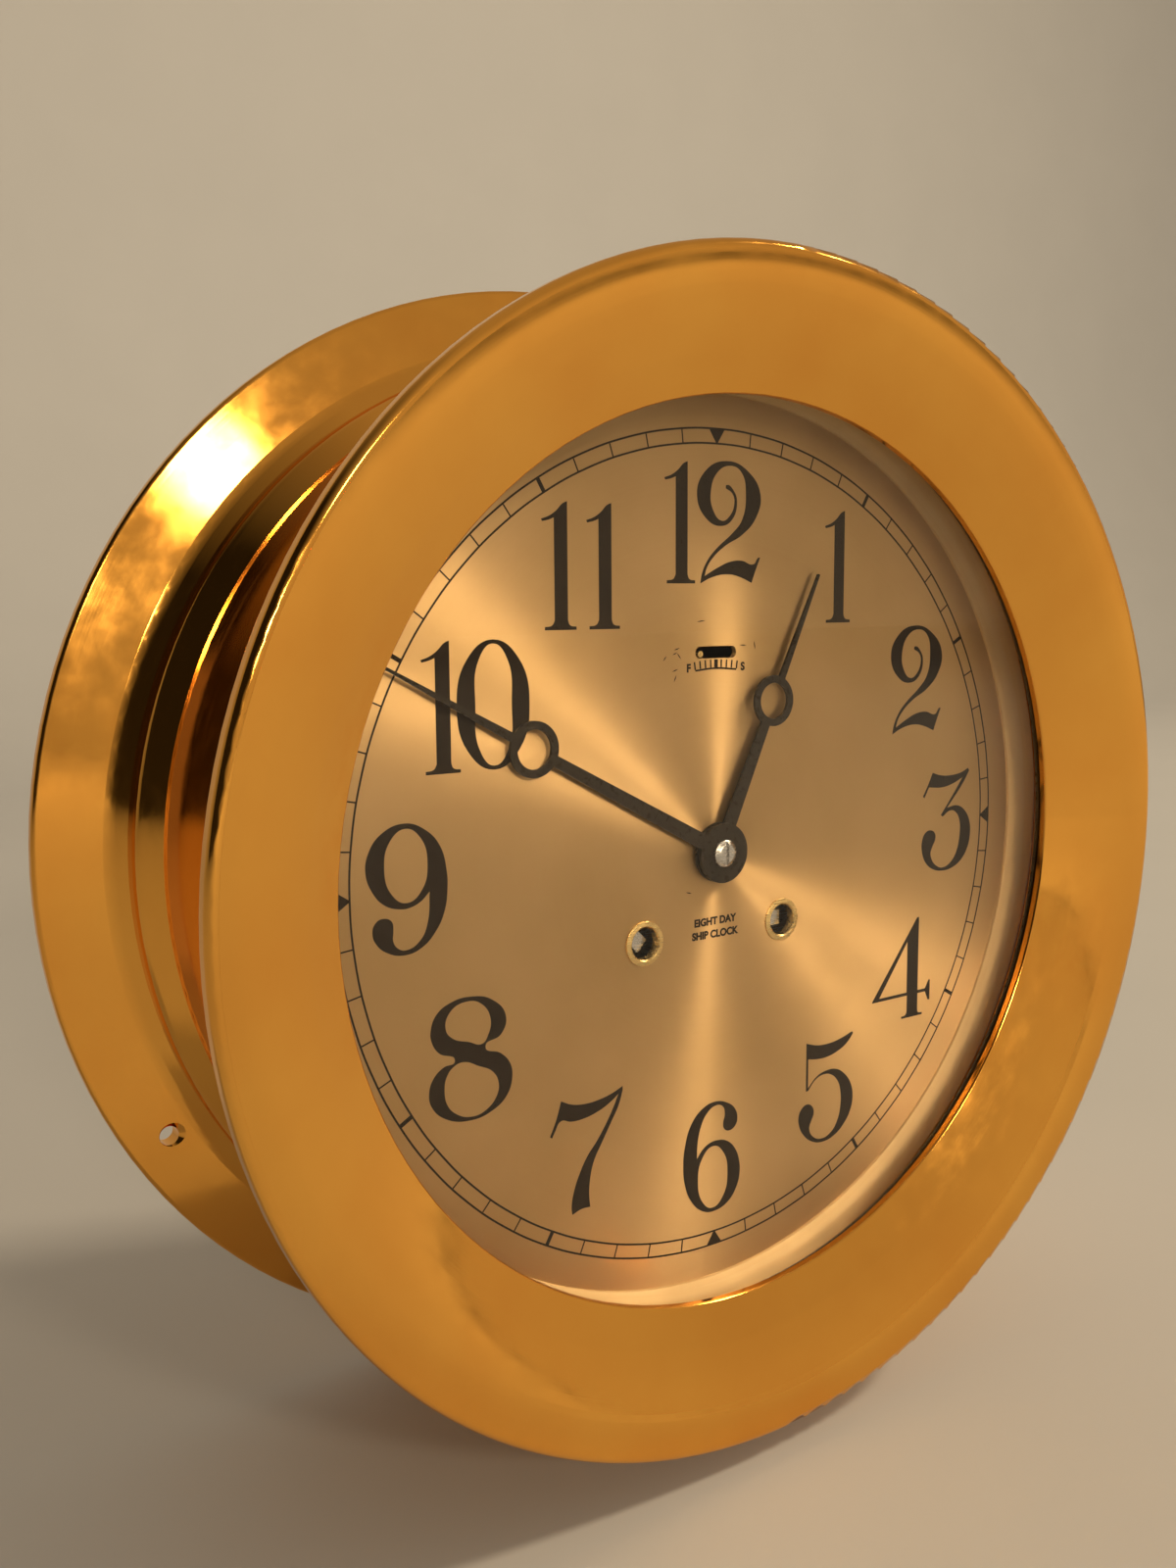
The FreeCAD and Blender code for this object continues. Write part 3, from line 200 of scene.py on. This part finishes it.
# ---- node helpers --------------------------------------------------------------------
class Finish:
    """A material built on one Principled shader, with short calls for its patterns."""

    def __init__(self, name, colour, metallic=0.0, roughness=0.5):
        self.material = bpy.data.materials.new(name)
        self.material.use_nodes = True
        self.tree = self.material.node_tree
        self.shader = self.tree.nodes["Principled BSDF"]
        self.shader.inputs["Base Color"].default_value = (*colour, 1.0)
        self.shader.inputs["Metallic"].default_value = metallic
        self.shader.inputs["Roughness"].default_value = roughness
        self.place = self.add("ShaderNodeTexCoord").outputs["Object"]

    def add(self, kind, inputs=None, **settings):
        node = self.tree.nodes.new(kind)
        for key, value in settings.items():
            setattr(node, key, value)
        for key, value in (inputs or {}).items():
            if isinstance(value, bpy.types.NodeSocket):
                self.tree.links.new(value, node.inputs[key])
            else:
                node.inputs[key].default_value = value
        return node

    def noise(self, scale, detail=3.0, vector=None):
        """Noise from 0 to 1; scale is in waves per metre unless a vector is given."""
        inputs = {"Vector": vector or self.place, "Scale": scale, "Detail": detail}
        return self.add("ShaderNodeTexNoise", inputs).outputs["Fac"]

    def stretched(self, factors):
        node = self.add("ShaderNodeVectorMath", {0: self.place, 1: factors}, operation="MULTIPLY")
        return node.outputs[0]

    def turned_lines(self, scale, detail=2.0):
        """Noise that only changes with the distance from the clock's axis and along it."""
        flat = self.add("ShaderNodeVectorMath", {0: self.place, 1: (1.0, 0.0, 1.0)}, operation="MULTIPLY")
        reach = self.add("ShaderNodeVectorMath", {0: flat.outputs[0]}, operation="LENGTH").outputs["Value"]
        parts = self.add("ShaderNodeSeparateXYZ", {0: self.place})
        line = self.add("ShaderNodeCombineXYZ", {0: reach, 1: parts.outputs["Y"]})
        return self.noise(scale, detail, line.outputs[0])

    def spread(self, value, low, high, start=0.3, end=0.7):
        """Maps noise between start and end onto low to high."""
        inputs = {"Value": value, "From Min": start, "From Max": end, "To Min": low, "To Max": high}
        return self.add("ShaderNodeMapRange", inputs).outputs["Result"]

    def blend(self, factor, first, second):
        node = self.add("ShaderNodeMix", {"Factor": factor}, data_type="RGBA")
        for socket, colour in ((node.inputs[6], first), (node.inputs[7], second)):
            if isinstance(colour, bpy.types.NodeSocket):
                self.tree.links.new(colour, socket)
            else:
                socket.default_value = (*colour, 1.0)
        return node.outputs[2]

    def feed(self, socket, value):
        self.tree.links.new(value, self.shader.inputs[socket])

    def bump(self, height, depth):
        """Relief of the given depth in metres."""
        inputs = {"Height": height, "Distance": depth, "Strength": 1.0}
        self.feed("Normal", self.add("ShaderNodeBump", inputs).outputs["Normal"])


# ---- finishes ------------------------------------------------------------------------
def polished_brass():
    """Polished, lacquered brass: a deep even gold with faint clouding, turning lines and wiping marks."""
    finish = Finish("polished brass", (0.88, 0.43, 0.08), metallic=1.0, roughness=0.1)
    cloud = finish.noise(26.0, 4.0)
    clouded = finish.blend(finish.spread(cloud, 0.0, 1.0), (0.90, 0.45, 0.085), (0.84, 0.39, 0.07))
    finish.feed("Base Color", clouded)
    wipes = finish.noise(1.0, 4.0, finish.stretched((140.0, 420.0, 140.0)))
    finish.feed("Roughness", finish.spread(wipes, 0.07, 0.15))
    finish.bump(finish.turned_lines(1500.0), 0.000004)
    return finish.material


def silvered_dial():
    """Spun silvered brass: fine rings that throw the light out in fans from the centre, with faint stains."""
    finish = Finish("silvered dial", (0.58, 0.385, 0.18), metallic=0.9, roughness=0.36)
    stain = finish.noise(30.0, 5.0)
    stained = finish.blend(finish.spread(stain, 0.0, 1.0), (0.60, 0.40, 0.19), (0.53, 0.35, 0.155))
    finish.feed("Base Color", stained)
    rings = finish.turned_lines(2600.0, 4.0)
    finish.feed("Roughness", finish.spread(rings, 0.36, 0.44))
    finish.shader.inputs["Anisotropic"].default_value = 0.97
    finish.shader.inputs["Anisotropic Rotation"].default_value = 0.25
    tangent = finish.add("ShaderNodeTangent", direction_type="RADIAL", axis="Y")
    finish.feed("Tangent", tangent.outputs["Tangent"])
    finish.bump(rings, 0.000006)
    return finish.material


def silvered_band():
    """Silvered band round the dial: turned in fine rings and left almost matte."""
    finish = Finish("silvered band", (0.54, 0.38, 0.18), metallic=0.4, roughness=0.6)
    stain = finish.noise(45.0, 4.0)
    stained = finish.blend(finish.spread(stain, 0.0, 1.0), (0.58, 0.41, 0.20), (0.50, 0.35, 0.165))
    finish.feed("Base Color", stained)
    rings = finish.turned_lines(1900.0, 4.0)
    finish.feed("Roughness", finish.spread(rings, 0.52, 0.68))
    finish.bump(rings, 0.00002)
    return finish.material


def dial_ink():
    """Black printing ink with a slight sheen and a little unevenness."""
    finish = Finish("dial ink", (0.010, 0.006, 0.004), roughness=0.34)
    finish.shader.inputs["Specular IOR Level"].default_value = 0.15
    grain = finish.noise(900.0, 3.0)
    finish.feed("Roughness", finish.spread(grain, 0.26, 0.44))
    finish.feed("Base Color", finish.blend(finish.noise(160.0), (0.008, 0.005, 0.003), (0.016, 0.010, 0.006)))
    return finish.material


def black_enamel():
    """Satin black enamel on the hands, thinner and browner in places."""
    finish = Finish("black enamel", (0.012, 0.009, 0.006), roughness=0.34)
    finish.shader.inputs["Specular IOR Level"].default_value = 0.25
    grain = finish.noise(700.0, 4.0)
    finish.feed("Roughness", finish.spread(grain, 0.22, 0.42))
    finish.feed("Base Color", finish.blend(finish.noise(260.0), (0.008, 0.006, 0.004), (0.022, 0.015, 0.009)))
    finish.bump(grain, 0.00001)
    return finish.material


def crystal_glass():
    """Clear flat glass with the faintest smears of handling."""
    finish = Finish("crystal glass", (1.0, 1.0, 1.0), roughness=0.0)
    finish.shader.inputs["Transmission Weight"].default_value = 1.0
    finish.shader.inputs["IOR"].default_value = 1.25
    smears = finish.noise(1.0, 5.0, finish.stretched((22.0, 22.0, 60.0)))
    finish.feed("Roughness", finish.spread(smears, 0.0, 0.02, 0.5, 0.8))
    return finish.material


def brushed_metal(name, light, dark, roughness):
    """Metal of the parts inside, with a straight brushed grain."""
    finish = Finish(name, light, metallic=1.0, roughness=roughness)
    grain = finish.noise(1.0, 3.0, finish.stretched((260.0, 900.0, 2600.0)))
    finish.feed("Base Color", finish.blend(finish.noise(60.0, 4.0), light, dark))
    finish.feed("Roughness", finish.spread(grain, roughness - 0.08, roughness + 0.1))
    finish.bump(grain, 0.00001)
    return finish.material


def gasket_rubber():
    """Dark cork rubber under the crystal's edge."""
    finish = Finish("gasket rubber", (0.03, 0.028, 0.025), roughness=0.85)
    crumbs = finish.noise(1200.0, 5.0)
    finish.feed("Base Color", finish.blend(crumbs, (0.02, 0.019, 0.018), (0.06, 0.05, 0.04)))
    finish.bump(crumbs, 0.00008)
    return finish.material


def floor_plaster():
    finish = Finish("pale floor", (0.64, 0.66, 0.70), roughness=0.75)
    finish.feed("Base Color", finish.blend(finish.noise(6.0, 4.0), (0.66, 0.68, 0.72), (0.62, 0.64, 0.68)))
    return finish.material


def slot_finishes():
    return {
        "polished_brass": polished_brass(),
        "silvered_dial": silvered_dial(),
        "black_enamel": black_enamel(),
        "crystal_glass": crystal_glass(),
        "gasket_rubber": gasket_rubber(),
        "movement_brass": brushed_metal("movement brass", (0.86, 0.62, 0.26), (0.74, 0.5, 0.2), 0.28),
        "steel": brushed_metal("steel", (0.62, 0.61, 0.6), (0.5, 0.49, 0.48), 0.25),
        "blued_steel": brushed_metal("blued steel", (0.06, 0.1, 0.32), (0.04, 0.06, 0.2), 0.25),
        "bell_metal": brushed_metal("bell metal", (0.82, 0.66, 0.4), (0.7, 0.54, 0.3), 0.2),
    }


def dress_frame(finishes):
    """Gives every CAD node the finish of its own slot, but for four that need another; the retaining ring's
    black is painted shade.
    """
    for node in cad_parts.values():
        slot = node.data.materials[0].name.split(".")[0]
        node.data.materials[0] = finishes[slot]
    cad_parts["reflector_ring"].data.materials[0] = silvered_band()
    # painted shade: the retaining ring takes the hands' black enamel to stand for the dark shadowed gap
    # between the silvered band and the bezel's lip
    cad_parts["retaining_ring"].data.materials[0] = finishes["black_enamel"]
    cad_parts["winding_grommets"].data.materials[0] = brushed_metal(
        "gilt rim", (0.80, 0.60, 0.28), (0.70, 0.50, 0.20), 0.28)
    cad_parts["back_plate"].data.materials[0] = brushed_metal(
        "plain brass", (0.70, 0.40, 0.12), (0.56, 0.30, 0.08), 0.36)


# ---- dial printing -------------------------------------------------------------------
def ink_piece(name, drawing, x, z, ink):
    """Piece of ink on the dial from a curve or text, with the drawing's origin at (x, z) in mm."""
    drawn = bpy.data.objects.new(name + ".drawing", drawing)
    bpy.context.scene.collection.objects.link(drawn)
    bpy.context.view_layer.update()
    mesh = bpy.data.meshes.new_from_object(drawn.evaluated_get(bpy.context.evaluated_depsgraph_get()))
    bpy.data.objects.remove(drawn)
    place = Vector((x, DIAL_FRONT_Y - INK_THICKNESS / 2, z)) * MM
    mesh.transform(Matrix.Translation(place) @ Matrix.Rotation(math.radians(90), 4, "X"))
    mesh.materials.clear()
    mesh.materials.append(ink)
    piece = bpy.data.objects.new(name, mesh)
    bpy.context.scene.collection.objects.link(piece)
    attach(piece, "case")


def print_curve(name, contours, ink):
    """Filled ink shape from closed outlines of (x, z) or (x, z, C) points in mm on the dial."""
    curve = bpy.data.curves.new(name, "CURVE")
    curve.dimensions = "2D"
    curve.fill_mode = "BOTH"
    curve.resolution_u = INK_CURVE_STEPS
    curve.extrude = INK_THICKNESS / 2 * MM
    for contour in contours:
        spline = curve.splines.new("BEZIER")
        spline.bezier_points.add(len(contour) - 1)
        for point, values in zip(spline.bezier_points, contour):
            point.co = Vector((values[0], values[1], 0.0)) * MM
            handle = "VECTOR" if len(values) > 2 else "AUTO"
            point.handle_left_type = handle
            point.handle_right_type = handle
        spline.use_cyclic_u = True
    ink_piece(name, curve, 0.0, 0.0, ink)


def print_words(name, words, height, x, z, ink):
    """Words in the program's own plain typeface, centred on a point of the dial."""
    text = bpy.data.curves.new(name, "FONT")
    text.body = words
    text.size = height * MM
    text.align_x = "CENTER"
    text.align_y = "CENTER"
    text.offset = LETTERING_BOLDNESS * height * MM
    text.extrude = INK_THICKNESS / 2 * MM
    ink_piece(name, text, x, z, ink)


def placed(contour, scale, x, z):
    return [(values[0] * scale + x, values[1] * scale + z, *values[2:]) for values in contour]


def circle(radius):
    """Smooth points evenly spaced round the dial's centre."""
    angles = [math.tau * step / CIRCLE_POINTS for step in range(CIRCLE_POINTS)]
    return [(radius * math.cos(angle), radius * math.sin(angle)) for angle in angles]


def turned_box(inner_r, outer_r, width, clockwise):
    """Corners of a bar that lies along the radius at a clockwise angle from 12."""
    out = Vector((math.sin(clockwise), math.cos(clockwise)))
    side = Vector((out.y, -out.x)) * width / 2
    corners = [out * inner_r - side, out * outer_r - side, out * outer_r + side, out * inner_r + side]
    return [(corner.x, corner.y, C) for corner in corners]


def numerals(ink):
    scale = NUMERAL_HEIGHT / GRID_HEIGHT
    for hour, (glyphs, (x, z)) in enumerate(NUMERALS):
        contours = []
        for character, left in glyphs:
            for contour in GLYPHS[character]:
                contours.append(placed(contour, scale, x + left * scale, z - NUMERAL_HEIGHT / 2))
        print_curve(f"numeral_{hour or 12}", contours, ink)


def minute_track(ink):
    ticks_start = TRACK_INNER_R + TRACK_LINE
    ticks_end = TRACK_OUTER_R - TRACK_LINE
    print_curve("track_outer_line", [circle(TRACK_OUTER_R), circle(ticks_end)], ink)
    print_curve("track_inner_line", [circle(ticks_start), circle(TRACK_INNER_R)], ink)
    bars = []
    for minute in range(60):
        if minute % 15 == 0:
            continue
        width = MINUTE_TICK if minute % 5 else HOUR_TICK
        bars.append(turned_box(ticks_start, ticks_end, width, math.tau * minute / 60))
    print_curve("track_ticks", bars, ink)
    for hour in (12, 3, 6, 9):
        angle = math.tau * hour / 12
        out = Vector((math.sin(angle), math.cos(angle)))
        side = Vector((out.y, -out.x)) * TRIANGLE_HALF_BASE
        base = out * ticks_end
        corners = [base - side, base + side, out * TRACK_INNER_R]
        print_curve(f"track_triangle_{hour}", [[(p.x, p.y, C) for p in corners]], ink)


def arc_sector(inner, outer, start, end):
    """Closed outline between two radii and two angles from 12 o'clock, in degrees."""
    middle = (start + end) / 2
    outline = []
    for radius, angles in ((inner, (start, middle, end)), (outer, (end, middle, start))):
        for angle in angles:
            x = radius * math.sin(math.radians(angle))
            z = radius * math.cos(math.radians(angle))
            outline.append((x, z) if angle == middle else (x, z, C))
    return outline


def regulator_scale(ink):
    """Graduated arc round the dial's centre under the regulator slot, with a bold middle mark."""
    marks = [arc_sector(SCALE_INNER_R - SCALE_LINE, SCALE_INNER_R, -SCALE_SPREAD, SCALE_SPREAD)]
    line = math.degrees(SCALE_LINE / SCALE_INNER_R)
    for step in range(SCALE_DIVISIONS + 1):
        angle = SCALE_SPREAD * (2 * step / SCALE_DIVISIONS - 1)
        half = line * (SCALE_BOLD_MARK_HALF if step == SCALE_DIVISIONS // 2 else SCALE_MARK_HALF)
        marks.append(arc_sector(SCALE_INNER_R, SCALE_OUTER_R, angle - half, angle + half))
    print_curve("regulator_scale", marks, ink)


def dial_scuffs(ink):
    """Short worn scratches round the regulator slot, where a pointer has been pushed about."""
    strokes = []
    for start, end in SCUFFS:
        middle = ((start[0] + end[0]) / 2, (start[1] + end[1]) / 2)
        length = math.dist(start, end)
        side_x = (start[1] - end[1]) / length * SCUFF_WIDTH / 2
        side_z = (end[0] - start[0]) / length * SCUFF_WIDTH / 2
        strokes.append([(*start, C), (middle[0] + side_x, middle[1] + side_z), (*end, C),
                        (middle[0] - side_x, middle[1] - side_z)])
    print_curve("dial_scuffs", strokes, ink)


# ---- studio --------------------------------------------------------------------------
def floor(finish):
    """Pale floor that sweeps up into a plain backdrop well behind the clock."""
    lowest = min(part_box(name)[0].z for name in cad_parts)
    profile = [(-SWEEP_NEAR, 0.0), (SWEEP_FAR, 0.0)]
    for step in range(1, SWEEP_STEPS + 1):
        turn = math.radians(90) * step / SWEEP_STEPS
        profile.append((SWEEP_FAR + SWEEP_RADIUS * math.sin(turn), SWEEP_RADIUS * (1 - math.cos(turn))))
    profile.append((SWEEP_FAR + SWEEP_RADIUS, SWEEP_TOP))
    points = []
    for distance, height in profile:
        for x in (-SWEEP_HALF_WIDTH, SWEEP_HALF_WIDTH):
            points.append((x, distance, lowest + height))
    faces = [(2 * i, 2 * i + 1, 2 * i + 3, 2 * i + 2) for i in range(len(profile) - 1)]
    mesh = bpy.data.meshes.new("floor")
    mesh.from_pydata(points, [], faces)
    mesh.shade_smooth()
    mesh.materials.append(finish)
    ground = bpy.data.objects.new("floor", mesh)
    bpy.context.scene.collection.objects.link(ground)


def aim(thing, place, target, roll=0.0):
    """Puts a lamp or the camera at a place, looking at a target."""
    turn = (place - target).to_track_quat("Z", "Y").to_matrix().to_4x4()
    thing.matrix_world = Matrix.Translation(place) @ turn @ Matrix.Rotation(roll, 4, "Z")


def studio_lights():
    """Two soft lamps in front and one to the upper right, each along its direction from the dial."""
    dial = Vector((0.0, DIAL_FRONT_Y * MM, 0.0))
    for name, (direction, distance, side, watts) in LAMPS.items():
        light = bpy.data.lights.new(name, "AREA")
        light.shape = "RECTANGLE"
        light.size = side
        light.size_y = side
        light.energy = watts
        light.color = LAMP_COLOUR
        lamp = bpy.data.objects.new(name, light)
        bpy.context.scene.collection.objects.link(lamp)
        aim(lamp, dial + Vector(direction).normalized() * distance, dial)


def studio_world():
    """A warm pale room, dimmer overhead and to the left of the clock."""
    world = bpy.data.worlds.new("studio")
    bpy.context.scene.world = world
    world.use_nodes = True
    tree = world.node_tree
    background = tree.nodes["Background"]
    place = tree.nodes.new("ShaderNodeTexCoord")
    parts = tree.nodes.new("ShaderNodeSeparateXYZ")
    height = tree.nodes.new("ShaderNodeValToRGB")
    height.color_ramp.elements[0].position = ROOM_LOW_UNTIL
    height.color_ramp.elements[0].color = ROOM_LOW
    height.color_ramp.elements[1].position = ROOM_HIGH_FROM
    height.color_ramp.elements[1].color = ROOM_HIGH
    side = tree.nodes.new("ShaderNodeMapRange")
    side.inputs["From Min"].default_value = ROOM_LEFT_X
    side.inputs["From Max"].default_value = ROOM_FULL_X
    side.inputs["To Min"].default_value = ROOM_LEFT_STRENGTH
    side.inputs["To Max"].default_value = ROOM_FULL_STRENGTH
    tree.links.new(place.outputs["Generated"], parts.inputs[0])
    tree.links.new(parts.outputs["Z"], height.inputs["Fac"])
    tree.links.new(parts.outputs["X"], side.inputs["Value"])
    tree.links.new(height.outputs["Color"], background.inputs["Color"])
    tree.links.new(side.outputs["Result"], background.inputs["Strength"])
    bpy.context.scene.view_settings.view_transform = "Standard"


def camera():
    lens = bpy.data.cameras.new("camera")
    lens.sensor_fit = "VERTICAL"
    lens.sensor_height = SENSOR_HEIGHT
    lens.lens = CAMERA_LENS
    lens.clip_start = CAMERA_NEAREST
    view = bpy.data.objects.new("camera", lens)
    bpy.context.scene.collection.objects.link(view)
    aim(view, CAMERA_PLACE, CAMERA_TARGET, CAMERA_ROLL)
    bpy.context.scene.camera = view


# ---- the scene -----------------------------------------------------------------------
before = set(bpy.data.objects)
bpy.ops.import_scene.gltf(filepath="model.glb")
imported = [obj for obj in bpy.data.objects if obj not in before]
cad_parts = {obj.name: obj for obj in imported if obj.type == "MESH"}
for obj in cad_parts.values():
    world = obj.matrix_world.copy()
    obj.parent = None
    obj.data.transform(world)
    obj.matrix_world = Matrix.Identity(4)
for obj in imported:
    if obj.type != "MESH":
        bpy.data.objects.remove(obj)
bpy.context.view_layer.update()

finishes = slot_finishes()
dress_frame(finishes)
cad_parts["crystal"].visible_shadow = False

ink = dial_ink()
numerals(ink)
minute_track(ink)
regulator_scale(ink)
print_words("scale_fast", "F", SCALE_LETTER_HEIGHT, -SCALE_LETTER_X, SCALE_LETTER_Z, ink)
print_words("scale_slow", "S", SCALE_LETTER_HEIGHT, SCALE_LETTER_X, SCALE_LETTER_Z, ink)
print_words("maker_line", "EIGHT DAY", SMALL_LINE_HEIGHT, 0.0, UPPER_LINE_Z, ink)
print_words("model_line", "SHIP CLOCK", SMALL_LINE_HEIGHT, 0.0, LOWER_LINE_Z, ink)
dial_scuffs(ink)

floor(floor_plaster())
studio_lights()
studio_world()
camera()
